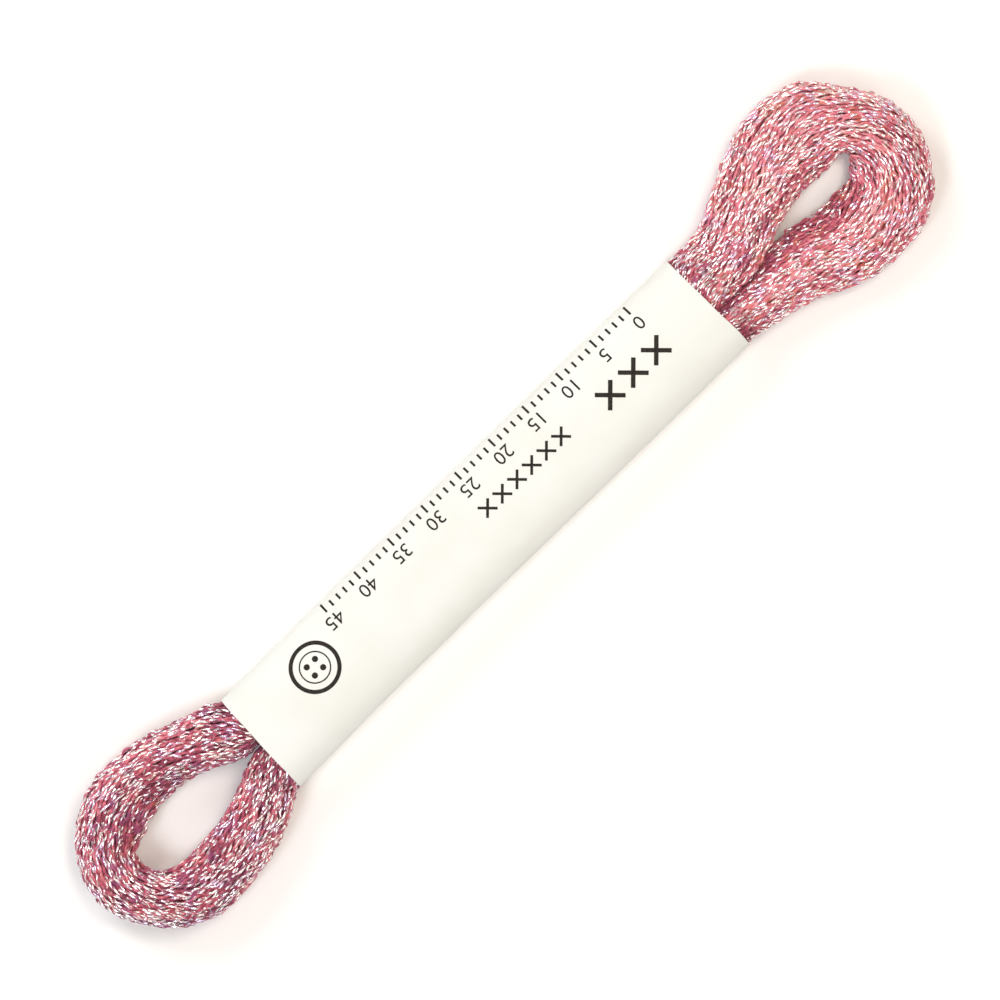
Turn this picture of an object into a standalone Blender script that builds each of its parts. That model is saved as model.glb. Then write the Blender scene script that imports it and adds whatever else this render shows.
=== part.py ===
"""A skein of metallic embroidery thread, held round its middle by a paper band.

One long thread is wound into a ring of many turns, and the ring is pressed
flat. Its two legs lie side by side in the band, and open into a loop at each
end. At the right-hand end the back leg leans over the front one.

+X runs along the skein and +Z is up. Right is +X, and the back is +Y. The
origin is on the surface that the skein rests on, under the middle of its
length and of its width. The tables are in millimetres, all else in metres.
"""

from collections import namedtuple
import math

import bmesh
import bpy
import numpy as np

MM = 0.001

# The band's paper, drawn thick enough to handle as a solid.
PAPER = 1.0 * MM
CLEARANCE = 0.3 * MM
BAND_LEFT = -35.7 * MM
BAND_RIGHT = 30.9 * MM
BAND_ROUNDNESS = 2.7
BAND_SUNK = 0.5 * MM
BAND_POINTS = 36

# The wound thread. Each ridge stands for a few strands that lie together.
# A roundness of 2 is an ellipse, and a larger one is squarer. What is sunk
# would lie under the surface, and is cut off flat.
THREAD_ROUNDNESS = 2.25
THREAD_SUNK = 0.45 * MM
THREAD_POINTS = 32
RIDGE_DEPTH = 0.30 * MM
LEG_GAP = 0.36 * MM
FINE_POINTS = 288
HALVINGS = 24
SHARP_EDGE = math.radians(20.0)

# Ridges start this high above the surface, this clear of the other leg, and
# this far out of the band.
RIDGE_LIFT = 0.2 * MM
RIDGE_RISE = 0.9 * MM
RIDGE_FROM_LEG = 0.6 * MM
RIDGE_FROM_BAND = 1.5 * MM

# How fast the thread swells past the band's mouths, and past the last place
# where its legs meet, as a slope. Its middle drops to its own height in the
# first few millimetres outside.
MOUTH_SLOPE = 4.0
PARTING_SLOPE = 4.0
MOUTH_DROP = 3.0 * MM

BandRow = namedtuple("BandRow", "x middle half_width height")
BAND_ROWS = (
    BandRow(-35.7, 0.12, 6.25, 6.30),
    BandRow(-24.0, 0.20, 6.20, 6.50),
    BandRow(-8.0, 0.10, 6.20, 6.60),
    BandRow(8.0, -0.10, 6.28, 6.60),
    BandRow(22.0, -0.28, 6.30, 6.50),
    BandRow(30.9, -0.38, 6.28, 6.30),
)

# The face on which the two legs meet, in and near the band. y is its place at
# PARTING_HEIGHT, and lean is how far it moves to the front for each
# millimetre that it rises.
PARTING_HEIGHT = 2.9 * MM
PartingRow = namedtuple("PartingRow", "x y lean")
PARTING_ROWS = (
    PartingRow(-36.5, 0.05, 0.0),
    PartingRow(-10.0, 0.0, 0.1),
    PartingRow(15.0, -0.2, 0.4),
    PartingRow(31.0, -0.5, 0.7),
    PartingRow(36.5, -0.7, 0.8),
    PartingRow(40.5, -0.35, 0.3),
)

# One row for each cross-section that sets the ring's shape, anticlockwise
# from above. x and y are its middle, and width lies across the ring. roll is
# in degrees and lowers the side that faces the hole. steps is the number of
# sections made up to the next row.
Station = namedtuple("Station", "place x y width height roll steps")
STATIONS = (
    Station("front leg, left mouth", -35.95, -3.17, 6.4, 5.9, 0, 4),
    Station("front leg, middle", -2.0, -3.05, 6.6, 5.9, 0, 4),
    Station("front leg, right mouth", 31.15, -3.09, 6.8, 5.4, 0, 1),
    Station("right loop, front root", 31.65, -3.10, 6.7, 5.2, 0, 4),
    Station("right loop, front flare", 36.0, -3.80, 6.8, 4.7, 0, 4),
    Station("right loop, front widening", 41.0, -4.85, 8.2, 4.4, 0, 4),
    Station("right loop, front belly", 47.5, -6.40, 9.3, 4.3, 0, 4),
    Station("right tip, front", 53.3, -5.20, 10.0, 4.6, 4, 4),
    Station("right tip, front turn", 55.9, -2.75, 8.2, 5.0, 10, 4),
    Station("right tip, point", 56.35, 0.35, 7.4, 5.3, 14, 4),
    Station("right tip, back turn", 55.3, 3.20, 7.6, 5.1, 10, 4),
    Station("right tip, back", 52.7, 5.15, 10.0, 4.7, 4, 4),
    Station("right loop, back belly", 47.3, 6.05, 10.1, 4.4, 0, 4),
    Station("right loop, back widening", 41.5, 4.40, 8.6, 4.6, 0, 4),
    Station("right loop, back flare", 36.0, 2.25, 8.8, 5.2, 0, 4),
    Station("right loop, back root", 31.65, 1.81, 7.8, 5.4, 0, 1),
    Station("back leg, right mouth", 31.15, 1.80, 8.0, 5.4, 0, 4),
    Station("back leg, middle", -2.0, 3.00, 6.8, 5.9, 0, 4),
    Station("back leg, left mouth", -35.95, 3.17, 6.2, 5.9, 0, 1),
    Station("left loop, back root", -36.45, 3.18, 6.1, 5.6, 0, 4),
    Station("left loop, back flare", -41.0, 5.10, 6.1, 5.4, 0, 4),
    Station("left loop, back belly", -46.5, 6.45, 6.7, 5.3, 0, 4),
    Station("left tip, back", -52.3, 5.75, 7.4, 5.4, 0, 4),
    Station("left tip, back turn", -56.0, 2.75, 7.1, 5.6, 0, 4),
    Station("left tip, point", -57.0, -0.40, 6.2, 5.8, 0, 4),
    Station("left tip, front turn", -55.7, -3.50, 6.0, 5.6, 0, 4),
    Station("left tip, front", -52.2, -5.95, 6.8, 5.4, 0, 4),
    Station("left loop, front belly", -46.5, -6.20, 6.8, 5.3, 0, 4),
    Station("left loop, front flare", -41.0, -4.95, 6.4, 5.4, 0, 4),
    Station("left loop, front root", -36.45, -3.18, 6.2, 5.6, 0, 1),
)
RING_COLUMNS = ("x", "y", "width", "height", "roll")


def clear_scene():
    for thing in list(bpy.data.objects):
        bpy.data.objects.remove(thing, do_unlink=True)


def make_collection(name):
    collection = bpy.data.collections.new(name)
    bpy.context.scene.collection.children.link(collection)
    return collection


def make_material(name, colour, roughness, metallic):
    material = bpy.data.materials.new(name)
    material.use_nodes = True
    shader = material.node_tree.nodes["Principled BSDF"]
    shader.inputs["Base Color"].default_value = (*colour, 1.0)
    shader.inputs["Roughness"].default_value = roughness
    shader.inputs["Metallic"].default_value = metallic
    return material


def between_rows(rows, column, x):
    """Reads one column of a table at the given x, in metres."""
    places = [row.x * MM for row in rows]
    values = [getattr(row, column) for row in rows]
    return np.interp(x, places, values)


def eased(amount):
    """Turns 0 to 1 into a smooth rise, and stays level past both ends."""
    amount = np.clip(amount, 0.0, 1.0)
    return amount * amount * (3.0 - 2.0 * amount)


def past_ends(x, low, high):
    """How far x is beyond either end of a stretch."""
    return np.maximum(0.0, np.maximum(low - x, x - high))


def superellipse(angle, roundness):
    """A point on an outline between an ellipse and a rectangle, of half-size 1."""
    power = 2.0 / roundness
    across = np.sign(np.cos(angle)) * np.abs(np.cos(angle)) ** power
    up = np.sign(np.sin(angle)) * np.abs(np.sin(angle)) ** power
    return across, up


def station_values():
    """The stations' columns in the order of RING_COLUMNS, a row for each."""
    lengths = np.array([[s.x, s.y, s.width, s.height] for s in STATIONS]) * MM
    rolls = np.radians([[s.roll] for s in STATIONS])
    return np.hstack((lengths, rolls))


def smooth_ring():
    """Runs a smooth closed curve through the stations, column by column.

    Returns the columns, and the horizontal direction out of the ring at each
    section.
    """
    values = station_values()
    following = np.roll(values, -1, axis=0)
    spans = np.linalg.norm((following - values)[:, :2], axis=1)[:, None]
    ahead = (following - values) / spans
    behind = np.roll(ahead, 1, axis=0)
    share = spans / (spans + np.roll(spans, 1, axis=0))
    slopes = behind * share + ahead * (1.0 - share)
    following_slopes = np.roll(slopes, -1, axis=0)

    rows = []
    headings = []
    for index, station in enumerate(STATIONS):
        t = np.arange(station.steps)[:, None] / station.steps
        rise = 3 * t**2 - 2 * t**3
        rows.append(values[index] * (1 - rise) + following[index] * rise
                    + slopes[index] * spans[index] * (t**3 - 2 * t**2 + t)
                    + following_slopes[index] * spans[index] * (t**3 - t**2))
        headings.append(ahead[index] * (6 * t - 6 * t**2)
                        + slopes[index] * (3 * t**2 - 4 * t + 1)
                        + following_slopes[index] * (3 * t**2 - 2 * t))
    heading_x, heading_y = np.vstack(headings)[:, :2].T
    speed = np.hypot(heading_x, heading_y)
    outward = np.array((heading_y / speed, -heading_x / speed, np.zeros(len(speed))))
    return dict(zip(RING_COLUMNS, np.vstack(rows).T)), outward


def parting_distance(x, y, z):
    """The distance behind the face on which the two legs meet."""
    middle = between_rows(PARTING_ROWS, "y", x) * MM
    lean = between_rows(PARTING_ROWS, "lean", x)
    return (y - middle + lean * (z - PARTING_HEIGHT)) / np.sqrt(1.0 + lean**2)


def parting_room(points, side):
    """How far points are clear of the other leg, which lies past the parting."""
    x, y, z = points
    beyond = past_ends(x, PARTING_ROWS[0].x * MM, PARTING_ROWS[-1].x * MM)
    return side * parting_distance(x, y, z) - LEG_GAP / 2 + beyond * PARTING_SLOPE


def band_room(points):
    """Is positive inside the band, and all round the thread away from it."""
    x, y, z = points
    inset = PAPER + 1.5 * CLEARANCE
    swell = past_ends(x, BAND_LEFT - CLEARANCE, BAND_RIGHT + CLEARANCE) * MOUTH_SLOPE
    height = between_rows(BAND_ROWS, "height", x) * MM
    half_height = (height + BAND_SUNK) / 2
    across = y - between_rows(BAND_ROWS, "middle", x) * MM
    across /= between_rows(BAND_ROWS, "half_width", x) * MM - inset + swell
    up = (z - (height - half_height)) / (half_height - inset + swell)
    inside = 1.0 - np.abs(across) ** BAND_ROUNDNESS - np.abs(up) ** BAND_ROUNDNESS
    return np.minimum(inside, z - np.maximum(0.0, inset - swell))


def held_in(centres, points, side):
    """Pulls points towards their section's centre until they have room."""
    low = np.zeros(points.shape[1:])
    high = np.ones(points.shape[1:])
    for _ in range(HALVINGS):
        middle = (low + high) / 2
        tried = centres + (points - centres) * middle
        fits = np.minimum(parting_room(tried, side), band_room(tried)) >= 0
        low = np.where(fits, middle, low)
        high = np.where(fits, high, middle)
    return centres + (points - centres) * low


def evenly_spaced(outline, count):
    """Puts count points on a closed outline, at equal steps from its first point."""
    closed = np.vstack((outline, outline[:1]))
    steps = np.linalg.norm(np.diff(closed, axis=0), axis=1)
    length = np.concatenate(([0.0], np.cumsum(steps)))
    places = np.linspace(0.0, length[-1], count, endpoint=False)
    return np.column_stack([np.interp(places, length, axis) for axis in closed.T])


def ridged(points, centre, side):
    """Sinks every second point, where the thread is neither pressed nor hidden."""
    free = eased((points[:, 2] - RIDGE_LIFT) / RIDGE_RISE)
    free *= eased(parting_room(points.T, side) / RIDGE_FROM_LEG)
    free *= eased(past_ends(points[:, 0], BAND_LEFT, BAND_RIGHT) / RIDGE_FROM_BAND)
    sunk = RIDGE_DEPTH * free * (np.arange(len(points)) % 2)
    inward = centre - points
    inward /= np.linalg.norm(inward, axis=1)[:, None]
    return points + inward * sunk[:, None]


def section_centres(ring):
    """The middle of each section, lifted where the band holds the thread up."""
    half_height = (ring["height"] + THREAD_SUNK) / 2
    resting = ring["height"] - half_height
    in_band = between_rows(BAND_ROWS, "height", 0.0) * MM / 2
    outside = eased(past_ends(ring["x"], BAND_LEFT, BAND_RIGHT) / MOUTH_DROP)
    z = resting + (in_band - resting) * (1.0 - outside)
    return np.array((ring["x"], ring["y"], z)), half_height


def thread_sections():
    """The outline of the wound thread at each section round the ring."""
    ring, outward = smooth_ring()
    centres, half_height = section_centres(ring)
    side = np.where(parting_distance(*centres) > 0, 1.0, -1.0)

    angle = np.linspace(0.0, 2 * math.pi, FINE_POINTS, endpoint=False) - math.pi / 2
    across, up = superellipse(angle, THREAD_ROUNDNESS)
    across = across[:, None] * ring["width"] / 2
    up = up[:, None] * half_height
    run = across * np.cos(ring["roll"]) - up * np.sin(ring["roll"])
    rise = across * np.sin(ring["roll"]) + up * np.cos(ring["roll"])
    outline = centres[:, None, :] + run * outward[:, None, :]
    outline[2] += rise
    outline = held_in(centres[:, None, :], outline, side)

    sections = []
    for index, centre in enumerate(centres.T):
        even = evenly_spaced(outline[:, :, index].T, THREAD_POINTS)
        sections.append(ridged(even, centre, side[index]))
    return sections


def loft(shape, sections, closed):
    """Joins outlines of the same number of points into one surface."""
    rings = [[shape.verts.new(point) for point in section] for section in sections]
    followers = rings[1:] + rings[:1] if closed else rings[1:]
    for ring, follower in zip(rings, followers):
        for index in range(len(ring)):
            after = (index + 1) % len(ring)
            shape.faces.new((ring[index], ring[after], follower[after], follower[index]))
    bmesh.ops.recalc_face_normals(shape, faces=shape.faces)


def make_object(name, sections, closed, material, collection):
    shape = bmesh.new()
    loft(shape, sections, closed)
    mesh = bpy.data.meshes.new(name)
    shape.to_mesh(mesh)
    shape.free()
    mesh.materials.append(material)
    mesh.shade_smooth()
    mesh.set_sharp_from_angle(angle=SHARP_EDGE)
    thing = bpy.data.objects.new(name, mesh)
    collection.objects.link(thing)
    return thing


def make_thread(collection):
    """The wound thread, as one solid ring."""
    thread = make_material("metallic_thread", (0.62, 0.20, 0.27), 0.42, 0.35)
    return make_object("thread_hank", thread_sections(), True, thread, collection)


def band_section(row):
    """The band's outer outline at one row, flat where it rests."""
    angle = np.linspace(0.0, 2 * math.pi, BAND_POINTS, endpoint=False)
    across, up = superellipse(angle, BAND_ROUNDNESS)
    half_height = (row.height * MM + BAND_SUNK) / 2
    y = row.middle * MM + across * row.half_width * MM
    z = np.maximum(0.0, row.height * MM - half_height + up * half_height)
    return np.column_stack((np.full(BAND_POINTS, row.x * MM), y, z))


def make_band(collection):
    """The band, a paper sleeve that is open at both ends."""
    paper = make_material("paper", (0.91, 0.90, 0.85), 0.75, 0.0)
    outlines = [band_section(row) for row in BAND_ROWS]
    band = make_object("paper_band", outlines, False, paper, collection)
    wall = band.modifiers.new("wall", "SOLIDIFY")
    wall.thickness = PAPER
    wall.offset = -1.0
    wall.use_even_offset = True
    return band


def main():
    clear_scene()
    skein = make_collection("embroidery_thread_skein")
    make_thread(skein)
    make_band(skein)


main()
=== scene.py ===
"""The looks of a skein of metallic embroidery thread in a paper band.

One thread of six strands, rose-pink fibre with strips of pearly film, is wound
into a ring of forty turns. They are laid in sections close to those of the solid
and pushed apart until they lie side by side. The band is thin paper, lapped on
its underside, with a scale, crosses and a button printed on it.

+X runs along the skein, +Y is its back, and +Z is up. All lengths are in
millimetres until a mesh is made from them.
"""

from collections import namedtuple
import math

import bmesh
import bpy
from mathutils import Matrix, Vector
import numpy as np


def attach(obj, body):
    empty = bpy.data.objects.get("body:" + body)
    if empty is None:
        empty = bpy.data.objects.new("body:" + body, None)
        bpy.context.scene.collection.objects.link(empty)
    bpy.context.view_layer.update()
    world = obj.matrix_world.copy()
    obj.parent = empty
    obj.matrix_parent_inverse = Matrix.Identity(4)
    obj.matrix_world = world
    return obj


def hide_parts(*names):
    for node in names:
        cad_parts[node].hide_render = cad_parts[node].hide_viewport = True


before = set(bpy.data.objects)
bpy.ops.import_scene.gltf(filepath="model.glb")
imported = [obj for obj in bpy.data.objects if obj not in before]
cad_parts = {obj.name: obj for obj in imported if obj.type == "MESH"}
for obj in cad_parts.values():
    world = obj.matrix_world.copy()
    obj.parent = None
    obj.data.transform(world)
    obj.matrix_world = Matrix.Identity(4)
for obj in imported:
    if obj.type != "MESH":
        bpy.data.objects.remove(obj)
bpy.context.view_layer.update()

MM = 0.001
BODY = "root"
SEED = 11


def table(columns, *rows):
    """Makes rows whose columns have names."""
    Row = namedtuple("Row", columns)
    return [Row(*row) for row in rows]


# The band, as in the solids, but its paper is thinner.
PAPER = 0.12
BAND_LEFT = -35.7
BAND_RIGHT = 30.9
BAND_ROUNDNESS = 2.7
BAND_SUNK = 0.5

BAND_ROWS = table(
    "x middle half_width height",
    (-35.7, 0.12, 6.25, 6.30),
    (-24.0, 0.20, 6.20, 6.50),
    (-8.0, 0.10, 6.20, 6.60),
    (8.0, -0.10, 6.28, 6.60),
    (22.0, -0.28, 6.30, 6.50),
    (30.9, -0.38, 6.28, 6.30),
)

# The face on which the two legs meet, close to that of the solids. y is its
# place at PARTING_HEIGHT, and it leans to the front as it rises.
PARTING_HEIGHT = 2.9
PARTING_ROWS = table(
    "x y lean",
    (-36.5, 0.05, 0.0),
    (-10.0, 0.0, 0.1),
    (15.0, -0.2, 0.4),
    (31.0, -0.8, 0.7),
    (36.5, -1.2, 1.0),
    (40.5, -0.35, 0.6),
)

# The ring's cross-sections, close to those of the solids, anticlockwise from
# above. In degrees, roll lowers the side towards the hole, and twist is how far
# the turns have rolled round each other. inner is the roundness of the side
# towards the hole: less than 2 is a straighter slope.
THREAD_ROUNDNESS = 2.25
THREAD_SUNK = 0.45
MOUTH_DROP = 3.0
STATIONS = table(
    "place x y width height roll twist inner",
    ("front leg, middle", -2.0, -3.05, 6.6, 5.9, 0, 0, 2.25),
    ("front leg, right mouth", 31.15, -3.09, 6.8, 5.4, 0, 0, 1.6),
    ("right front root", 31.65, -3.10, 6.7, 5.2, 0, 0, 1.4),
    ("right front flare", 36.0, -3.80, 6.8, 4.7, 0, 0, 1.4),
    ("right front widening", 41.0, -4.42, 8.4, 4.4, 0, 0, 1.3),
    ("right front belly", 47.5, -6.10, 10.1, 4.3, 0, 8, 1.3),
    ("right tip, front", 53.3, -5.20, 10.0, 4.6, 4, 30, 1.3),
    ("right tip, front turn", 55.75, -2.55, 8.6, 5.0, 10, 55, 1.6),
    ("right tip, point", 56.45, 0.45, 7.2, 5.3, 14, 80, 2.25),
    ("right tip, back turn", 55.1, 3.05, 6.9, 5.1, 10, 100, 2.25),
    ("right tip, back", 52.5, 5.05, 9.5, 4.7, 4, 110, 2.25),
    ("right back belly", 47.3, 5.68, 9.9, 4.4, 0, 115, 2.25),
    ("right back widening", 41.5, 4.02, 8.25, 4.6, -1, 115, 2.25),
    ("right back flare", 36.0, 1.80, 8.3, 5.2, -5, 115, 2.25),
    ("right back root", 31.65, 1.81, 7.8, 5.4, -2, 115, 2.25),
    ("back leg, right mouth", 31.15, 1.80, 8.0, 5.4, 0, 115, 2.25),
    ("back leg, middle", -2.0, 3.00, 6.8, 5.9, 0, 60, 2.25),
    ("back leg, left mouth", -35.95, 3.17, 6.2, 5.9, 0, 10, 2.25),
    ("left back root", -36.6, 3.35, 6.5, 5.6, 0, 8, 2.25),
    ("left back flare", -41.0, 5.10, 6.1, 5.4, 0, 5, 2.25),
    ("left back belly", -46.5, 6.45, 6.8, 5.3, 0, 0, 1.5),
    ("left tip, back", -52.3, 5.70, 7.5, 5.4, 0, -5, 1.3),
    ("left tip, back turn", -56.1, 2.95, 6.2, 5.6, 0, -12, 1.8),
    ("left tip, point", -56.8, -0.40, 6.1, 5.8, 0, -20, 2.25),
    ("left tip, front turn", -55.5, -3.40, 5.9, 5.6, 0, -25, 2.25),
    ("left tip, front", -52.2, -5.95, 6.8, 5.4, 0, -28, 2.25),
    ("left front belly", -46.5, -6.20, 6.8, 5.3, 0, -30, 2.25),
    ("left front flare", -41.0, -4.95, 6.4, 5.4, 0, -30, 2.25),
    ("left front root", -36.45, -3.18, 6.2, 5.6, 0, -30, 2.25),
    ("front leg, left mouth", -35.95, -3.17, 6.4, 5.9, 0, -28, 2.25),
)
SECTION_STEP = 0.8
SECTION_STEP_IN_BAND = 2.4

# The winding. A turn is one way round the ring. The turns begin in layers, which
# fill LAYER_REACH of the height, and wander from there.
TURNS = 40
TURN_RADIUS = 0.44
TURN_SPACING = 0.82
WIDEST_TURN_SPACING = 0.94
TURNS_IN_LAYER = (7, 9, 9, 9, 7)
LAYER_REACH = 0.9
WANDER = 0.5
WANDER_REACH = 14.0

# Each turn has six strands, which wind round its middle, STRAND_ORBIT from it.
STRANDS = 6
STRAND_RADIUS = 0.172
STRAND_ORBIT = 0.27
STRAND_SPACING = 0.335
WIDEST_STRAND_SPACING = 0.385
TWIST_PITCH = 17.0
TWIST_REACH = 8.0
LOOSENESS = 0.12
LOOSE_REACH = 2.6

# In each round of settling, a line is straightened by its stiffness, and threads
# give way by a share of their overlap.
OUTLINE_SHARE = 0.82
PACKING = 0.86
GIVES_WAY = 0.3
ROUNDS = 200
CALM_ROUNDS = 6
TURN_STIFFNESS = 0.25
STRAND_ROUNDS = 50
STRAND_STIFFNESS = 0.2

# How fast the room for the thread grows past the band's mouths, up to HELD, and
# past the parting's ends.
MOUTH_SLOPE = 0.9
PARTING_SLOPE = 1.5
BAND_SLACK = 0.05
HELD = 2.0

# A strand is covered from an angle by others at least this far ahead of it and at
# most this far aside, in strand spacings.
NEAR_TURNS = 9
COVER_AHEAD = 0.3
COVER_ASIDE = 0.62
ANGLES_ABOVE = np.radians(np.arange(-15, 196, 15))
ANGLES_UNDER = np.radians(np.arange(200, 341, 20))

# Painted shade: a slope towards the hole, but for its foot, is painted darker and
# shows less film, most where it is FULL_SLOPE less round than the rest. The slope
# and its foot are at shares of the way from the ring's middle to its hole.
FULL_SLOPE = 0.95
SLOPE_FROM = 0.04
SLOPE_RISE = 0.36
FOOT_FROM = 0.86
FOOT_RISE = 0.07
SHADE_TONE = 1.8
SHADE_FILM_LOSS = 0.52
# Painted shade: the thread is also painted darker, and shows less film, where it
# comes out from under the paper's edge.
MOUTH_SHADE = 0.8
MOUTH_REACH = 1.3
MOUTH_SHADE_TONE = 1.2
MOUTH_TONE_REACH = 8.0
# Painted light: a strand that shows only in a gap, from few angles, is painted paler,
# and has less film, so that it shows fewer dark reflections.
SHELTERED = 0.05
OPEN = 0.30
SHELTER_PAINTED_LIGHT = 0.8
SHELTER_FILM_LOSS = 0.8

# How far apart a strand's cross-sections are. It counts as showing if more than
# SHOWS of its neighbourhood does.
FINE_STEP = 0.19
UNDER_STEP = 0.42
COARSE_STEP = 1.5
BAND_STEP = 3.6
SHOWS = 0.15
SHOWS_REACH = 1.2
SEEN_IN_MOUTH = 1.0

# A strand's own make. Strips of film lie along some of its sides, turn with them,
# and dip under its fibre now and then.
SIDES = 6
FILM_SIDES = (0, 2, 4)
FILM_WIDTH = math.radians(72.0)
FILM_PITCH = 3.0
FILM_RISE = 0.09
FILM_SHOWS = 0.72
FILM_LIMITS = (0.05, 0.97)
FILM_DASH_STEPS = 1.3
SEAM_WANDER = 0.9
SEAM_STEPS = 30.0
SWELL = 0.06
SWELL_STEPS = 6.0
WIGGLE = 0.09
WIGGLE_STEPS = 1.5
WIGGLE_FROM_BAND = 1.5

# How uneven the thread is, and each strand in its colour.
UNEVEN_STEPS = 9900
UNEVEN_REACH = 6.0
UNEVEN_TONE = 0.8
UNEVEN_FILM = 0.10
STRAND_TONE = 0.7
STRAND_TONE_STEPS = 20.0


def between_rows(rows, column, x):
    """Reads one column of a table at the given x."""
    return np.interp(x, [row.x for row in rows], [getattr(row, column) for row in rows])


def eased(amount):
    """Turns 0 to 1 into a smooth rise, and stays level past both ends."""
    amount = np.clip(amount, 0.0, 1.0)
    return amount * amount * (3.0 - 2.0 * amount)


def past_ends(x, low, high):
    """How far x is beyond either end of a stretch."""
    return np.maximum(0.0, np.maximum(low - x, x - high))


def smoothed(values, reach):
    """Smooths values along their first axis with a bell of that many steps."""
    offsets = np.arange(-3 * math.ceil(reach), 3 * math.ceil(reach) + 1)
    bell = np.exp(-0.5 * (offsets / reach) ** 2)
    bell /= bell.sum()
    columns = values.reshape(len(values), -1).T
    smooth = np.array([np.convolve(column, bell, "same") for column in columns])
    return smooth.T.reshape(values.shape)


def wandering(random, count, columns, reach):
    """Smooth random values about 0, with a spread of 1."""
    values = smoothed(random.normal(size=(count, columns)), reach)
    return values / values.std()


def running(steps):
    """The sums of the steps so far, from 0."""
    return np.concatenate(([0.0], np.cumsum(steps)))


def unit(vectors):
    """Makes each row 1 long."""
    return vectors / np.linalg.norm(vectors, axis=1)[:, None]


def right_of(heading):
    """The level directions to the right of headings."""
    return np.column_stack((heading[:, 1], -heading[:, 0], np.zeros(len(heading))))


def curved(t, span, start, end, start_slope, end_slope):
    """Values and slopes at shares t of a smooth curve between two ends."""
    rise = 3 * t**2 - 2 * t**3
    values = (start * (1 - rise) + end * rise
              + start_slope * span * (t**3 - 2 * t**2 + t) + end_slope * span * (t**3 - t**2))
    slopes = ((end - start) / span * (6 * t - 6 * t**2)
              + start_slope * (3 * t**2 - 4 * t + 1) + end_slope * (3 * t**2 - 2 * t))
    return values, slopes


def on_curve(points, along, wanted):
    """Points and directions on a smooth curve through the given ones."""
    slopes = np.gradient(points, along, axis=0)
    i = np.clip(np.searchsorted(along, wanted, side="right") - 1, 0, len(points) - 2)
    span = (along[i + 1] - along[i])[:, None]
    t = (wanted - along[i])[:, None] / span
    places, heading = curved(t, span, points[i], points[i + 1], slopes[i], slopes[i + 1])
    return places, unit(heading)


def add_object(name, data):
    thing = bpy.data.objects.new(name, data)
    bpy.context.scene.collection.objects.link(thing)
    return thing


def make_mesh(name, corners, faces, material):
    """A smooth mesh of one material, with its corners in metres."""
    mesh = bpy.data.meshes.new(name)
    mesh.from_pydata(corners, [], faces)
    mesh.materials.append(material)
    mesh.shade_smooth()
    return mesh


# ---- the ring

def ring_sections():
    """The stations' numbers and their slopes, on a smooth curve through all stations."""
    rows = np.array([station[1:] for station in STATIONS], float)
    following = np.roll(rows, -1, axis=0)
    spans = np.linalg.norm((following - rows)[:, :2], axis=1)[:, None]
    ahead = (following - rows) / spans
    behind = np.roll(ahead, 1, axis=0)
    share = spans / (spans + np.roll(spans, 1, axis=0))
    slopes = behind * share + ahead * (1.0 - share)
    next_slopes = np.roll(slopes, -1, axis=0)
    sections = []
    for i, span in enumerate(spans[:, 0]):
        middle = (rows[i, 0] + following[i, 0]) / 2
        hidden = BAND_LEFT < middle < BAND_RIGHT
        count = math.ceil(span / (SECTION_STEP_IN_BAND if hidden else SECTION_STEP))
        t = np.arange(count)[:, None] / count
        if hidden:
            # In the band the sections are closest near its mouths.
            t = 0.5 - 0.5 * np.cos(math.pi * t)
        sections.append(curved(t, span, rows[i], following[i], slopes[i], next_slopes[i]))
    return [np.vstack(parts) for parts in zip(*sections)]


class Ring:
    """The sections of the wound ring, with the axes across and up each one."""

    def __init__(self):
        columns, slopes = ring_sections()
        x, y, width, height, roll, twist, self.inner_roundness = columns.T
        self.count = len(x)
        self.twist = np.radians(twist)
        self.half_width = width / 2
        self.half_height = (height + THREAD_SUNK) / 2
        resting = height - self.half_height
        in_band = between_rows(BAND_ROWS, "height", 0.0) / 2
        outside = eased(past_ends(x, BAND_LEFT, BAND_RIGHT) / MOUTH_DROP)
        self.centre = np.column_stack((x, y, resting + (in_band - resting) * (1 - outside)))
        outward = right_of(unit(slopes[:, :2]))
        up = np.array((0.0, 0.0, 1.0))
        roll = np.radians(roll)
        cos = np.cos(roll)[:, None]
        sin = np.sin(roll)[:, None]
        self.across = outward * cos + up * sin
        self.up = up * cos - outward * sin
        self.side = np.where(parting_distance(*self.centre.T) > 0, 1.0, -1.0)

    def slope_shade(self, across):
        """How much painted shade a slope towards the hole gets at offsets across."""
        slope = np.clip((THREAD_ROUNDNESS - self.inner_roundness) / FULL_SLOPE, 0.0, 1.0)
        share = -across / self.half_width[:, None, None]
        on_foot = eased((share - FOOT_FROM) / FOOT_RISE)
        return slope[:, None, None] * (eased((share - SLOPE_FROM) / SLOPE_RISE) * (1.0 - on_foot))

    def place(self, offsets):
        """World places of offsets (section, turn, across and up)."""
        return (self.centre[:, None] + offsets[..., :1] * self.across[:, None]
                + offsets[..., 1:] * self.up[:, None])

    def offsets(self, places):
        relative = places - self.centre[:, None]
        return np.stack(((relative * self.across[:, None]).sum(2),
                         (relative * self.up[:, None]).sum(2)), axis=2)


def parting_distance(x, y, z):
    """The distance behind the face on which the two legs meet."""
    middle = between_rows(PARTING_ROWS, "y", x)
    lean = between_rows(PARTING_ROWS, "lean", x)
    return (y - middle + lean * (z - PARTING_HEIGHT)) / np.sqrt(1.0 + lean**2)


def scale_inside(across, up, roundness):
    """What to scale shares of the room by, to bring them into its outline."""
    size = (np.abs(across) ** roundness + np.abs(up) ** roundness) ** (1 / roundness)
    return 1.0 / np.maximum(size, 1.0)


def held_in_half(ring, x, y, z, radius):
    """Keeps round threads on their own side of the parting."""
    lean = between_rows(PARTING_ROWS, "lean", x)
    side = ring.side[:, None]
    beyond = past_ends(x, PARTING_ROWS[0].x, PARTING_ROWS[-1].x)
    room = side * parting_distance(x, y, z) - radius + beyond * PARTING_SLOPE
    short = side * np.minimum(0.0, room)
    length = np.sqrt(1 + lean**2)
    return y - short / length, z - short * lean / length


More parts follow.
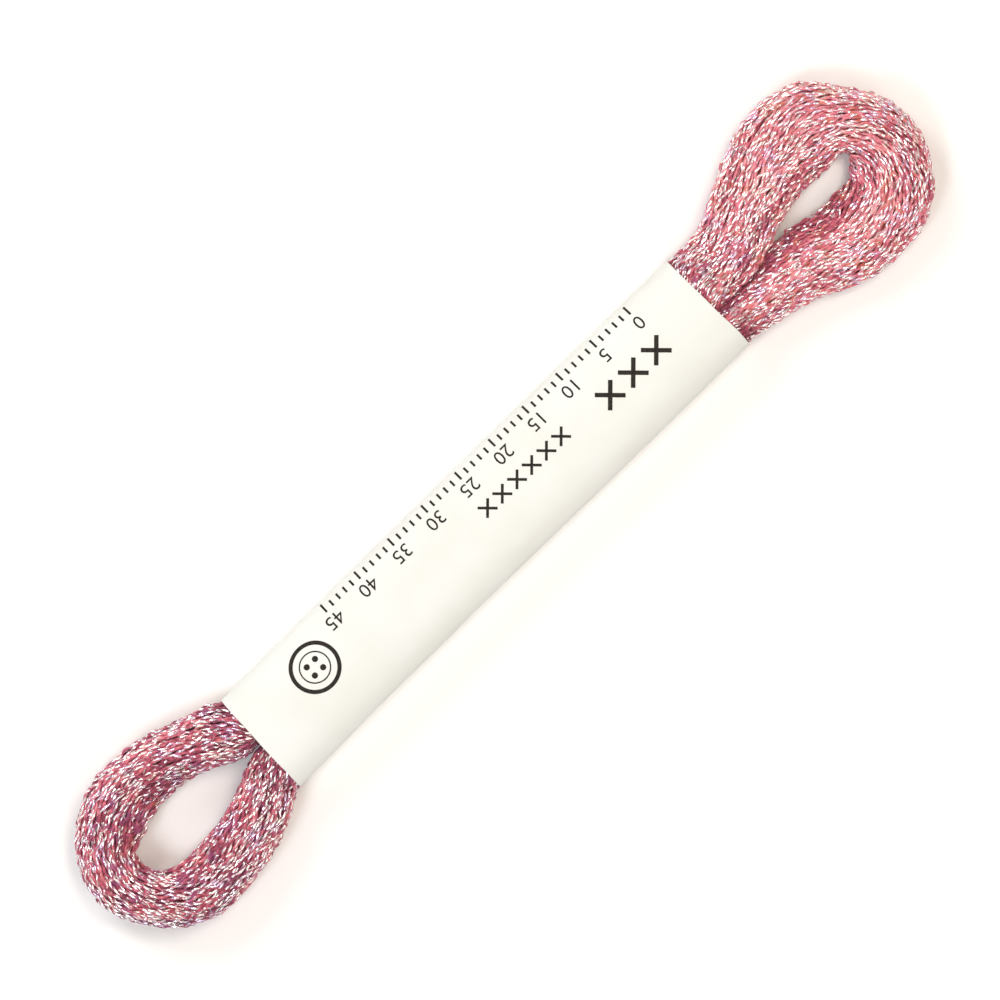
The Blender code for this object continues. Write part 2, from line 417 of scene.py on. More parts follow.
def band_section(x):
    """The band's section at x: its middle's y and z, and half its width and height."""
    height = between_rows(BAND_ROWS, "height", x)
    half_height = (height + BAND_SUNK) / 2
    half_width = between_rows(BAND_ROWS, "half_width", x)
    return between_rows(BAND_ROWS, "middle", x), height - half_height, half_width, half_height


def held_in_band(x, y, z, radius):
    """Keeps round threads inside the band's paper."""
    swell = past_ends(x, BAND_LEFT, BAND_RIGHT) * MOUTH_SLOPE
    inset = PAPER + BAND_SLACK + radius - swell
    middle, mid_height, half_width, half_height = band_section(x)
    scale = scale_inside((y - middle) / (half_width - inset),
                         (z - mid_height) / (half_height - inset), BAND_ROUNDNESS)
    scale = np.where(swell < HELD, scale, 1.0)
    y = middle + (y - middle) * scale
    z = mid_height + (z - mid_height) * scale
    lowest = radius + np.where(swell > 0, 0.0, PAPER)
    return y, np.maximum(z, lowest)


def held(ring, offsets, radius):
    """Keeps round threads in their outline, off the surface and in their own half."""
    across, up = np.moveaxis(offsets, 2, 0)
    roundness = np.where(across < 0.0, ring.inner_roundness[:, None], THREAD_ROUNDNESS)
    scale = scale_inside(across / (ring.half_width - radius)[:, None],
                         up / (ring.half_height - radius)[:, None], roundness)
    x, y, z = np.moveaxis(ring.place(offsets * scale[..., None]), 2, 0)
    y, z = held_in_half(ring, x, y, z, radius)
    y, z = held_in_band(x, y, z, radius)
    return ring.offsets(np.stack((x, y, z), axis=2))


# ---- the winding

def first_slots():
    """Where each turn begins in the section, layer by layer, in shares of its room."""
    slots = []
    heights = np.linspace(-LAYER_REACH, LAYER_REACH, len(TURNS_IN_LAYER))
    for layer, count in enumerate(TURNS_IN_LAYER):
        up = heights[layer]
        reach = (1 - abs(up) ** THREAD_ROUNDNESS) ** (1 / THREAD_ROUNDNESS)
        row = [(reach * across, up) for across in np.linspace(-1.0, 1.0, count)]
        slots += row if layer % 2 == 0 else row[::-1]
    return np.array(slots)


def first_turns(ring):
    """Where the turns are laid, turned by the twist, as offsets of (section, turn)."""
    slots = first_slots()
    x = ring.centre[:, 0]
    # At the end of its way round, a turn passes to where the next one begins.
    last = (np.arange(ring.count) > ring.count / 2) & (x > BAND_LEFT) & (ring.side < 0)
    passed = eased((x - BAND_LEFT) / (STATIONS[0].x - BAND_LEFT)) * last
    passed = passed[:, None, None]
    begun = slots[:TURNS][None] * (1 - passed) + slots[1:TURNS + 1][None] * passed
    cos = np.cos(ring.twist)[:, None]
    sin = np.sin(ring.twist)[:, None]
    turned = np.stack((begun[..., 0] * cos - begun[..., 1] * sin,
                       begun[..., 0] * sin + begun[..., 1] * cos), axis=2)
    room = np.column_stack((ring.half_width, ring.half_height)) - TURN_RADIUS
    return turned * room[:, None]


def lines_of(places):
    """Turns (section, turn, ..., axis) into lines along the thread, (..., place, axis)."""
    ordered = np.moveaxis(places, (1, 0), (-3, -2))
    return ordered.reshape(*ordered.shape[:-3], -1, ordered.shape[-1])


def sections_of(lines, sections):
    """Turns lines along the thread back into (section, turn, ..., axis)."""
    ordered = lines.reshape(*lines.shape[:-2], TURNS, sections, 2)
    return np.moveaxis(ordered, (-2, -3), (0, 1))


def straighten(lines, stiffness):
    """Draws each place on lines towards the middle of its neighbours."""
    before, here, after = lines[..., :-2, :], lines[..., 1:-1, :], lines[..., 2:, :]
    here += (before + after - 2 * here) * stiffness


def wound_turns(ring, random):
    """Lays the turns, pushes them apart, and returns their offsets (section, turn)."""
    wander = wandering(random, ring.count * TURNS, 2, WANDER_REACH / SECTION_STEP) * WANDER
    laid = first_turns(ring) + sections_of(wander, ring.count)
    spacing = room_for_each(ring, TURNS, TURN_SPACING, WIDEST_TURN_SPACING)
    moved = np.zeros_like(laid)
    for step in range(ROUNDS):
        line = lines_of(moved)
        straighten(line, TURN_STIFFNESS)
        now = laid + sections_of(line, ring.count)
        push = pushed_apart(now[:, :, None] - now[:, None], spacing)
        moved = held(ring, now + push, TURN_RADIUS) - laid
    # Where two turns have changed places, they cross at a gentle slant.
    line = lines_of(laid + moved)
    for step in range(CALM_ROUNDS):
        straighten(line, TURN_STIFFNESS)
    return sections_of(line, ring.count)


def room_for_each(ring, count, least, most):
    """How far apart threads lie. Where there is room to spare, they spread to fill it."""
    area = OUTLINE_SHARE * 4 * ring.half_width * ring.half_height
    spacing = np.sqrt(PACKING * area / (count * math.pi / 4))
    return np.clip(spacing, least, most)[:, None, None]


def pushed_apart(apart, spacing):
    """How each thread gives way to those that are nearer than the spacing."""
    distance = np.sqrt((apart**2).sum(-1)) + 1e-6
    overlap = np.maximum(0.0, spacing - distance)
    return (apart * (overlap / distance)[..., None]).sum(-2) * GIVES_WAY


def laid_strands(ring, turns, near, random):
    """Spreads turns into strands that bed among others: offsets (section, turn, strand)."""
    length = ring.count * TURNS
    line = lines_of(ring.place(turns))
    along = running(np.linalg.norm(np.diff(line, axis=0), axis=1))
    slack = wandering(random, length, 1, TWIST_REACH / SECTION_STEP)[:, 0]
    angle = math.tau * along / TWIST_PITCH + slack
    angle = angle[None, :] + math.tau * np.arange(STRANDS)[:, None] / STRANDS
    loose = wandering(random, length, 2 * STRANDS, LOOSE_REACH / SECTION_STEP) * LOOSENESS
    around = STRAND_ORBIT * np.stack((np.cos(angle), np.sin(angle)), axis=2)
    around = around + loose.reshape(length, STRANDS, 2).transpose(1, 0, 2)
    laid = turns[:, :, None] + sections_of(around, ring.count)

    spacing = room_for_each(ring, TURNS * STRANDS, STRAND_SPACING, WIDEST_STRAND_SPACING)
    spacing = spacing[..., None].astype(np.float32)
    laid = laid.astype(np.float32)
    moved = np.zeros_like(laid)
    for step in range(STRAND_ROUNDS):
        lines = lines_of(moved).copy()
        straighten(lines, STRAND_STIFFNESS)
        now = laid + sections_of(lines, ring.count)
        push = pushed_apart(now[:, :, :, None] - beside(now, near), spacing)
        flat = (now + push).reshape(ring.count, TURNS * STRANDS, 2)
        settled = held(ring, flat, STRAND_RADIUS).reshape(laid.shape)
        moved = settled.astype(np.float32) - laid
    return laid + moved


def nearest_turns(turns):
    """The turns that lie nearest to each turn, itself among them, at each section."""
    distance = ((turns[:, :, None] - turns[:, None])**2).sum(3)
    return np.argsort(distance, axis=2)[:, :, :NEAR_TURNS]


def beside(strands, near):
    """The offsets of all strands of the turns near each turn."""
    sections = np.arange(len(strands))[:, None, None]
    return strands[sections, near].reshape(len(strands), TURNS, 1, NEAR_TURNS * STRANDS, 2)


def exposed(strands, near, angles):
    """At what share of the angles nothing lies outside each strand, at each section."""
    rows = beside(strands, near) - strands[:, :, :, None]
    free = np.zeros(strands.shape[:3])
    for angle in angles:
        ahead = rows[..., 0] * math.cos(angle) + rows[..., 1] * math.sin(angle)
        aside = np.abs(rows[..., 1] * math.cos(angle) - rows[..., 0] * math.sin(angle))
        covers = (ahead > COVER_AHEAD * STRAND_SPACING) & (aside < COVER_ASIDE * STRAND_SPACING)
        free += ~covers.any(axis=3)
    return free / len(angles)


# ---- the strands

def section_steps(x, above, under):
    """How far apart a strand's cross-sections are: less where it shows."""
    outside = past_ends(x, BAND_LEFT + SEEN_IN_MOUTH, BAND_RIGHT - SEEN_IN_MOUTH) > 0
    shows_above = smoothed((above > 0).astype(float), SHOWS_REACH) > SHOWS
    shows_under = smoothed((under > 0).astype(float), SHOWS_REACH) > SHOWS
    fine = FINE_STEP
    step = np.where(shows_above, fine, np.where(shows_under, UNDER_STEP, COARSE_STEP))
    return np.where(outside, step, BAND_STEP)


class Strand:
    """The cross-sections along one strand."""

    def __init__(self, points, centres, shade, above, under):
        spans = np.linalg.norm(np.diff(points, axis=0), axis=1)
        along = running(spans)
        rate = 1.0 / section_steps(points[:, 0], above, under)
        counted = running(spans * (rate[1:] + rate[:-1]) / 2)
        self.count = int(counted[-1])
        self.along = np.interp(np.arange(self.count), counted, along)
        self.points, self.ahead = on_curve(points, along, self.along)
        self.aside = unit(right_of(self.ahead))
        self.above = np.cross(self.aside, self.ahead)
        middle = [np.interp(self.along, along, column) for column in centres.T]
        self.outward = unit(self.points - np.column_stack(middle))

        beyond = past_ends(self.points[:, 0], BAND_LEFT, BAND_RIGHT)
        # Painted shade: darker, with less film, where the thread comes out from under the paper.
        in_mouth = MOUTH_SHADE * (1.0 - eased(beyond / MOUTH_REACH))
        self.shade = np.maximum(np.interp(self.along, along, shade), in_mouth)
        self.near_mouth = 1.0 - eased(beyond / MOUTH_TONE_REACH)
        # Painted light in gaps, where a strand shows from few angles.
        openness = smoothed(np.maximum(above, under), SHOWS_REACH)
        sheltered = 1.0 - eased((openness - SHELTERED) / (OPEN - SHELTERED))
        self.sheltered = np.interp(self.along, along, sheltered)
        self.freedom = eased(beyond / WIGGLE_FROM_BAND)
        fine_here = np.diff(self.along, append=self.along[-1]) < FINE_ENOUGH * FINE_STEP
        self.shown = fine_here & (beyond > LOOSE_FROM_BAND)


def make_strands(random):
    ring = Ring()
    turns = wound_turns(ring, random)
    near = nearest_turns(turns)
    offsets = laid_strands(ring, turns, near, random)
    above = exposed(offsets, near, ANGLES_ABOVE)
    under = exposed(offsets, near, ANGLES_UNDER)
    # Painted shade on the slopes towards the hole.
    shade = ring.slope_shade(offsets[..., 0])
    centres = np.tile(ring.centre, (TURNS, 1))
    strands = []
    for index in range(STRANDS):
        line = lines_of(ring.place(offsets[:, :, index]))
        columns = [values[:, :, index].T.ravel() for values in (shade, above, under)]
        strands.append(Strand(line, centres, *columns))
    return strands


def strand_outlines(strand, film, random):
    """A strand's outlines (section, side, place). The film winds slower where it is hidden."""
    count = strand.count
    slack = SEAM_WANDER * wandering(random, count, 1, SEAM_STEPS)[:, 0]
    swell = 1.0 + SWELL * wandering(random, count, 1, SWELL_STEPS)
    wiggle = WIGGLE * wandering(random, count, 2, WIGGLE_STEPS) * strand.freedom[:, None]
    centre = strand.points + wiggle[:, :1] * strand.aside + wiggle[:, 1:] * strand.above
    angle = -math.tau * FINE_STEP / FILM_PITCH * np.arange(count) + slack
    bare = (math.tau - len(FILM_SIDES) * FILM_WIDTH) / (SIDES - len(FILM_SIDES))
    widths = np.full(SIDES, bare)
    widths[list(FILM_SIDES)] = FILM_WIDTH
    angle = angle[:, None] + np.cumsum(widths) - widths
    # Film stands a little proud of the fibre.
    covered = film | np.roll(film, 1, axis=1)
    covered = np.vstack((covered, covered[-1:])) | np.vstack((covered[:1], covered))
    radius = (STRAND_RADIUS * (swell + FILM_RISE * (2.0 * covered - 1.0)))[..., None]
    outlines = (centre[:, None] + radius * (np.cos(angle)[..., None] * strand.aside[:, None]
                                            + np.sin(angle)[..., None] * strand.above[:, None]))
    outlines[..., 2] = np.maximum(outlines[..., 2], 0.0)
    return outlines


def film_faces(strand, richer, random):
    """Which faces (section, side) of a strand are film. It has more where it is richer."""
    waves = wandering(random, strand.count - 1, len(FILM_SIDES), FILM_DASH_STEPS)
    film = np.zeros((strand.count - 1, SIDES), int)
    # Painted shade and painted light take film away on slopes, near the mouths and in gaps.
    shows = FILM_SHOWS * (1.0 - SHADE_FILM_LOSS * strand.shade[:-1])
    shows = shows * (1.0 - SHELTER_FILM_LOSS * strand.sheltered[:-1])
    shows = np.clip(shows + UNEVEN_FILM * richer[:-1], *FILM_LIMITS)
    film[:, list(FILM_SIDES)] = waves < np.quantile(waves, shows)[:, None]
    return film


# The margins of the baking map's columns, as a share of their width, and the room
# between two of them, in faces.
MAP_MARGIN = 0.04
MAP_GAP = 0.5


def tube_mesh(name, outlines):
    """A closed tube with flat ends, from its outlines (section, side, place)."""
    count = len(outlines)
    section = np.arange(count - 1)[:, None] * SIDES
    side = np.arange(SIDES)[None, :]
    after = (side + 1) % SIDES
    quads = np.stack((section + side, section + SIDES + side, section + SIDES + after,
                      section + after), axis=2).reshape(-1, 4)
    ends = np.concatenate((np.arange(SIDES), (count - 1) * SIDES + np.arange(SIDES)[::-1]))
    loops = np.concatenate((quads.ravel(), ends))
    starts = np.concatenate((np.arange(len(quads)) * 4, len(quads) * 4 + np.arange(2) * SIDES))
    mesh = bpy.data.meshes.new(name)
    mesh.vertices.add(count * SIDES)
    mesh.vertices.foreach_set("co", (outlines * MM).astype(np.float32).ravel())
    mesh.loops.add(len(loops))
    mesh.loops.foreach_set("vertex_index", loops.astype(np.int32))
    mesh.polygons.add(len(starts))
    mesh.polygons.foreach_set("loop_start", starts.astype(np.int32))
    mesh.polygons.foreach_set("use_smooth", np.ones(len(starts), bool))
    return mesh


def add_map(mesh, name, strip, ends):
    """Adds a map, from places on the strip of faces and on the two flat ends."""
    places = np.concatenate((strip.reshape(-1, 2), np.tile(ends, (2 * SIDES, 1))))
    layer = mesh.uv_layers.new(name=name)
    layer.data.foreach_set("uv", places.astype(np.float32).ravel())


def map_strand(mesh, along):
    """Maps a strand for its material and for baking."""
    faces = len(along) - 1
    side = np.arange(SIDES)[None, :]
    around = np.stack((side, side, side + 1, side + 1), axis=2) / SIDES
    around = np.broadcast_to(around, (faces, SIDES, 4))

    # The strand map runs once round the strand, and along it in millimetres.
    near = np.broadcast_to(along[:-1, None], (faces, SIDES))
    far = np.broadcast_to(along[1:, None], (faces, SIDES))
    lengthwise = np.stack((near, far, far, near), axis=2)
    add_map(mesh, "strand", np.stack((around, lengthwise), axis=3), (0.0, 0.0))

    # The other map packs the same strip into columns, for baking.
    columns = math.ceil(math.sqrt(faces / (SIDES + MAP_GAP)))
    rows = math.ceil(faces / columns)
    number = np.arange(faces)[:, None, None]
    u = (number // rows + MAP_MARGIN + around * (1.0 - 2.0 * MAP_MARGIN)) / columns
    v = np.broadcast_to((number % rows + np.array((0, 1, 1, 0))) / (rows + 1), u.shape)
    add_map(mesh, "OFBake", np.stack((u, v), axis=3), (0.5, rows / (rows + 1)))


def make_strand(name, strand, outlines, film, tones, materials):
    mesh = tube_mesh(name, outlines)
    for material in materials:
        mesh.materials.append(material)
    slots = np.concatenate((film.ravel(), (0, 0))).astype(np.int32)
    mesh.polygons.foreach_set("material_index", slots)
    map_strand(mesh, strand.along)
    tone = mesh.attributes.new("tone", "FLOAT", "POINT")
    tone.data.foreach_set("value", np.repeat(tones, SIDES).astype(np.float32))
    mesh.update(calc_edges=True)
    mesh.validate()
    make_hank_piece(name, mesh)


def make_hank_piece(name, mesh):
    piece = add_object(name, mesh)
    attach(piece, BODY)
    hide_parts("thread_hank")


# Loose ends stand out from the strands, where their sections are fine and clear of
# the band. lift is how far they turn away from their strand.
LOOSE = table(
    "name count longest radius sides flatness film lift",
    ("fibre_hairs", 1500, 1.0, 0.020, 3, 1.0, False, 0.55),
    ("film_ends", 1500, 0.8, 0.055, 4, 0.25, True, 0.45),
)
LOOSE_STEPS = 4
FINE_ENOUGH = 1.2
LOOSE_FROM_BAND = 1.6
ROOT_PLACE = 0.7
SHORTEST = 0.3
LEAST_LIFT = 0.2
LEAN = 0.5
CURL = 0.7
BEND = 0.45
LIFT_COST = 0.2
TAPER = 0.75


def loose_corners(strands, loose, random):
    """The outlines of loose ends, as (end, corner, place)."""
    strand = random.integers(0, len(strands), loose.count)
    roots = [random.choice(np.flatnonzero(strands[i].shown)) for i in strand]
    rows = [[getattr(strands[i], name)[root] for name in ("points", "ahead", "outward")]
            for i, root in zip(strand, roots)]
    point, ahead, outward = np.array(rows).transpose(1, 0, 2)
    ahead = ahead * random.choice((-1.0, 1.0), loose.count)[:, None]
    sideways = np.cross(ahead, outward)
    lean = random.normal(0.0, LEAN, loose.count)[:, None]
    lift = loose.lift * random.uniform(LEAST_LIFT, 1.0, loose.count)[:, None]
    curl = random.normal(0.0, CURL, loose.count)[:, None]
    length = loose.longest * random.uniform(SHORTEST, 1.0, loose.count)[:, None]
    corners = []
    for t in np.arange(LOOSE_STEPS) / (LOOSE_STEPS - 1):
        rise = STRAND_RADIUS * ROOT_PLACE + length * lift * (t - BEND * t * t)
        middle = (point + outward * rise + ahead * length * t * (1.0 - LIFT_COST * lift)
                  + sideways * length * (lean * t + curl * t * t) * 0.5)
        radius = loose.radius * (1.0 - TAPER * t * t)
        for side in range(loose.sides):
            angle = math.tau * side / loose.sides
            corners.append(middle + radius * (math.cos(angle) * sideways
                                              + math.sin(angle) * loose.flatness * outward))
    corners = np.array(corners).transpose(1, 0, 2)
    corners[..., 2] = np.maximum(corners[..., 2], 0.0)
    return corners


def make_loose_ends(strands, loose, material, random):
    """Makes short curved hairs, or flattened slips of film, all as one piece."""
    corners = loose_corners(strands, loose, random)
    per_end = LOOSE_STEPS * loose.sides
    faces = []
    for root in range(0, loose.count * per_end, per_end):
        for low in range(root, root + per_end - loose.sides, loose.sides):
            for side in range(loose.sides):
                after = (side + 1) % loose.sides
                faces.append((low + side, low + after, low + loose.sides + after,
                              low + loose.sides + side))
        tip = root + per_end - loose.sides
        faces.append(tuple(range(tip, tip + loose.sides)))
        faces.append(tuple(reversed(range(root, root + loose.sides))))
    corners = (corners.reshape(-1, 3) * MM).tolist()
    make_hank_piece(loose.name, make_mesh(loose.name, corners, faces, material))


def make_thread(fibre, film_strip):
    random = np.random.default_rng(SEED)
    strands = make_strands(random)
    # The strands are uneven in the same places, as they are one thread.
    uneven = wandering(random, UNEVEN_STEPS, 2, UNEVEN_REACH)
    steps = np.linspace(0.0, 1.0, UNEVEN_STEPS)
    for number, strand in enumerate(strands, 1):
        share = strand.along / strand.along[-1]
        paler, richer = (np.interp(share, steps, column) for column in uneven.T)
        film = film_faces(strand, richer, random)
        outlines = strand_outlines(strand, film, random)
        own = wandering(random, strand.count, 1, STRAND_TONE_STEPS)[:, 0]
        # The tone is random, with painted shade on slopes and near the mouths, and painted light
        # in gaps.
        tones = (STRAND_TONE * own + UNEVEN_TONE * paler - SHADE_TONE * strand.shade
                 - MOUTH_SHADE_TONE * strand.near_mouth + SHELTER_PAINTED_LIGHT * strand.sheltered)
        name = f"thread_strand_{number}"
        make_strand(name, strand, outlines, film, tones, (fibre, film_strip))
    for loose in LOOSE:
        make_loose_ends(strands, loose, film_strip if loose.film else fibre, random)


# ---- the materials

# Colours are linear. A ramp's stops are a level and the colour there.
ROSE = ((0.32, (0.18, 0.020, 0.050)), (0.44, (0.45, 0.068, 0.122)),
        (0.55, (0.74, 0.190, 0.240)), (0.70, (0.90, 0.420, 0.450)))
WARM_FIBRE = (0.66, 0.170, 0.070)
COOL_FIBRE = (0.34, 0.070, 0.220)
PEARL = ((0.34, (0.86, 0.72, 0.90)), (0.46, (0.97, 0.91, 0.94)),
         (0.56, (0.99, 0.93, 0.92)), (0.68, (0.97, 0.78, 0.74)))
CREAM = ((0.35, (0.770, 0.774, 0.724)), (0.65, (0.802, 0.807, 0.772)))
INK = ((0.3, (0.016, 0.012, 0.010)), (0.7, (0.034, 0.027, 0.023)))
PALE_FLOOR = ((0.3, (0.950, 0.941, 0.925)), (0.7, (0.965, 0.956, 0.940)))

# Painted light: the fibre is painted paler and warmer from the left tip to the right,
# for the more light that comes through the flatter right loop. LOOP_TIP is in metres.
LOOP_TIP = 0.058
LEFT_PAINTED_LIGHT = -0.070
RIGHT_PAINTED_LIGHT = 0.056


class Nodes:
    """A short way to build a material's nodes.

    Noise is in waves for each metre, or on a strand's map for each way round and
    each millimetre along.
    """

    def __init__(self, name):
        self.material = bpy.data.materials.new(name)
        self.material.use_nodes = True
        self.tree = self.material.node_tree
        self.shader = self.tree.nodes["Principled BSDF"]
        self.place = self.add("TexCoord", "Object")

    def add(self, kind, output, links=None, **settings):
        """Adds a node, fed with values or other nodes' outputs, and returns its output."""
        node = self.tree.nodes.new("ShaderNode" + kind)
        for key, value in settings.items():
            setattr(node, key, value)
        for key, value in (links or {}).items():
            self.feed(node.inputs[key], value)
        return node.outputs[output]

    def feed(self, socket, value):
        if isinstance(value, bpy.types.NodeSocket):
            self.tree.links.new(value, socket)
        else:
            socket.default_value = value

    def set(self, **inputs):
        for key, value in inputs.items():
            self.feed(self.shader.inputs[key.replace("_", " ")], value)

    def ramp(self, factor, stops):
        output = self.add("ValToRGB", "Color", {"Fac": factor})
        ramp = output.node.color_ramp
        while len(ramp.elements) < len(stops):
            ramp.elements.new(0.5)
        for element, (level, colour) in zip(ramp.elements, stops):
            element.position = level
            element.color = (*colour, 1.0)
        return output

    def noise(self, scale, detail=2.0, roughness=0.5, vector=None):
        return self.add("TexNoise", "Fac", {"Vector": vector or self.place, "Scale": scale,
                                            "Detail": detail, "Roughness": roughness})

    def stretched_noise(self, vector, scale):
        return self.noise(1.0, vector=self.add("Mapping", 0, {"Vector": vector, "Scale": scale}))

    def math(self, operation, first, second):
        return self.add("Math", 0, {0: first, 1: second}, operation=operation)

    def mapped(self, value, low, high, to_low=0.0, to_high=1.0):
        return self.add("MapRange", 0, {"Value": value, "From Min": low, "From Max": high,
                                        "To Min": to_low, "To Max": to_high})

    def mixed(self, factor, first, second):
        """The first colour, turning into the second as the factor rises."""
        links = {0: factor, 6: first, 7: (*second, 1.0)}
        return self.add("Mix", 2, links, data_type="RGBA")

    def bump(self, height, distance, strength):
        links = {"Height": height, "Distance": distance, "Strength": strength}
        return self.add("Bump", "Normal", links)


def fibre_material():
    """Rose-pink fibre: fine filaments along the ply, redder in some places."""
    n = Nodes("rose_fibre")
    strand = n.add("UVMap", "UV", uv_map="strand")
    fine = n.stretched_noise(strand, scale=(26.0, 1.6, 1.0))
    mottled = n.stretched_noise(strand, scale=(2.0, 1.7, 1.0))
    patch = n.noise(scale=260.0)
    # The tone attribute holds random tone with painted shade and painted light.
    tone = n.add("Attribute", "Fac", attribute_name="tone")
    level = n.math("MULTIPLY", mottled, 0.55)
    for value, share in ((fine, 0.30), (patch, 0.15), (tone, 0.045)):
        level = n.math("ADD", level, n.math("MULTIPLY", value, share))
    # Painted light: paler towards the right loop.
    x = n.add("SeparateXYZ", "X", {"Vector": n.place})
    paler = n.mapped(x, -LOOP_TIP, LOOP_TIP, LEFT_PAINTED_LIGHT, RIGHT_PAINTED_LIGHT)
    level = n.math("ADD", level, paler)
    rose = n.ramp(level, ROSE)
    # The painted light also shifts the tint, warmer towards the right loop.
    tinted = n.math("ADD", n.noise(scale=700.0, detail=1.0), paler)
    warm = n.mapped(tinted, 0.60, 0.74)
    cool = n.mapped(tinted, 0.42, 0.28)
    colour = n.mixed(n.math("MULTIPLY", warm, 0.55), rose, WARM_FIBRE)
    colour = n.mixed(n.math("MULTIPLY", cool, 0.50), colour, COOL_FIBRE)
    n.set(Base_Color=colour, Roughness=0.6, Normal=n.bump(fine, distance=0.00004, strength=0.6),
          Sheen_Weight=0.25, Sheen_Roughness=0.4)
    return n.material


def film_material():
    n = Nodes("pearl_film")
    colour = n.ramp(n.noise(scale=420.0, detail=1.0), PEARL)
    rough = n.mapped(n.noise(scale=900.0), 0.0, 1.0, 0.14, 0.38)
    crinkle = n.bump(n.noise(scale=5200.0), distance=0.00003, strength=0.7)
    n.set(Base_Color=colour, Metallic=0.78, Roughness=rough, Normal=crinkle)
    return n.material


def paper_material():
    n = Nodes("cream_paper")
    colour = n.ramp(n.noise(scale=160.0, detail=3.0), CREAM)
    grain = n.noise(scale=3800.0, detail=4.0, roughness=0.6)
    n.set(Base_Color=colour, Roughness=0.72, Normal=n.bump(grain, distance=0.00002, strength=0.5))
    return n.material


def plain_material(name, stops, scale, detail, **inputs):
    """A material that only varies a little in its colour."""
    n = Nodes(name)
    n.set(Base_Color=n.ramp(n.noise(scale, detail), stops), **inputs)
    return n.material


# ---- the band

# The lap lies inside the first layer, so it is lifted by the paper.
BAND_LAP = 3.2
LAP_RISE = 0.8
LAP_SLACK = 0.02
SHEET_COLUMNS = 64
SHEET_ROWS = 140
EDGE_COLUMNS = (0.0012, 0.005, 0.995, 0.9988)
OUTLINE_POINTS = 721
# How far each end leans from back to front, and how uneven it is. One part in
# LEAN_FADE of the length leans, and one in UNEVEN_FADE is uneven.
END_LEANS = (0.42, -0.06)
LEAN_HALF_WIDTH = 6.2
LEAN_FADE = 6.0
END_UNEVENNESS = 0.05
UNEVEN_ROWS = 5.0
UNEVEN_FADE = 12.0
# The creases are slanting waves, each with another across it.
CREASE = 0.05
CREASE_FROM = 0.3
WAVES = table(
    "size along around start cross_along cross_around cross_start",
    (1.0, 0.31, 9.0, 0.0, 0.07, 41.0, 0.0),
    (0.7, 0.83, -13.0, 1.0, 0.0, 67.0, 2.0),
)


def band_outline(x, places):
    """The band's outer outline at x, at shares of the way round from its lap."""
    angle = np.linspace(-math.pi / 2, 1.5 * math.pi, OUTLINE_POINTS)
    cos = np.cos(angle)
    sin = np.sin(angle)
    power = 2.0 / BAND_ROUNDNESS
    middle, mid_height, half_width, half_height = band_section(x)
    y = middle + np.sign(cos) * np.abs(cos) ** power * half_width
    z = np.maximum(mid_height + np.sign(sin) * np.abs(sin) ** power * half_height, 0.0)
    length = running(np.hypot(np.diff(y), np.diff(z)))
    wanted = places * length[-1]
    return np.interp(wanted, length, y), np.interp(wanted, length, z), length[-1]


def band_creases(x, shares):
    """How far the paper sinks in, in soft shallow waves that follow the turns."""
    waves = sum(wave.size
                * np.sin(x * wave.along + shares * wave.around + wave.start)
                * np.sin(x * wave.cross_along + shares * wave.cross_around + wave.cross_start)
                for wave in WAVES)
    return CREASE * (0.5 + 0.5 * waves / sum(wave.size for wave in WAVES))


def band_point(x, share, step=0.002):
    """The band's surface at x and a share of the way round, with its outward direction."""
    y, z, _ = band_outline(x, (share + step * np.array((0, -1, 1))) % 1.0)
    along = np.array((y[2] - y[1], z[2] - z[1]))
    outward = np.array((along[1], -along[0])) / np.hypot(*along)
    sunk = band_creases(x, share)
    return np.array((x, y[0] - outward[0] * sunk, z[0] - outward[1] * sunk)), outward


def at_ends(t, fade):
    """How much of each end there is at a share t of the band's length."""
    return max(0.0, 1.0 - fade * t), max(0.0, fade * t - (fade - 1.0))


def band_column(t, shares, around, uneven):
    """The paper at a share t of the band's length and shares of the way round."""
    x = BAND_LEFT + (BAND_RIGHT - BAND_LEFT) * t
    y, z, _ = band_outline(x, shares % 1.0)
    outward = unit(np.column_stack((np.gradient(z), -np.gradient(y))))
    sunk = band_creases(x, shares) * (z > CREASE_FROM)
    lap = eased((shares - 1.0) * around / LAP_RISE + 0.5) * (PAPER + LAP_SLACK)
    left, right = at_ends(t, LEAN_FADE)
    lean = (y / LEAN_HALF_WIDTH) * (END_LEANS[0] * left / 2 + END_LEANS[1] * right / 2)
    left, right = at_ends(t, UNEVEN_FADE)
    ragged = uneven[:, 0] * left + uneven[:, 1] * right
    return np.column_stack((x + lean + ragged, y - outward[:, 0] * sunk,
                            z - outward[:, 1] * sunk + lap))


def make_band(material):
    """The band: one sheet of paper round the hank, lapped on its underside."""
    random = np.random.default_rng(SEED)
    around = band_outline(0.0, np.zeros(1))[2]
    flat = around + BAND_LAP
    shares = np.linspace(0.0, flat / around, SHEET_ROWS)
    uneven = END_UNEVENNESS * wandering(random, SHEET_ROWS, 2, UNEVEN_ROWS)
    # Columns close to the ends keep the paper flat up to its edge.
    columns = np.sort(np.concatenate((np.linspace(0.0, 1.0, SHEET_COLUMNS), EDGE_COLUMNS)))
    grid = np.array([band_column(t, shares, around, uneven) for t in columns]) * MM
    faces = []
    for column in range(len(columns) - 1):
        for row in range(SHEET_ROWS - 1):
            a = column * SHEET_ROWS + row
            faces.append((a, a + 1, a + SHEET_ROWS + 1, a + SHEET_ROWS))
    name = "paper_band_sheet"
    band = add_object(name, make_mesh(name, grid.reshape(-1, 3).tolist(), faces, material))
    wall = band.modifiers.new("paper", "SOLIDIFY")
    wall.thickness = PAPER * MM
    wall.offset = -1.0
    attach(band, BODY)
    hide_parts("paper_band")


# ---- the print

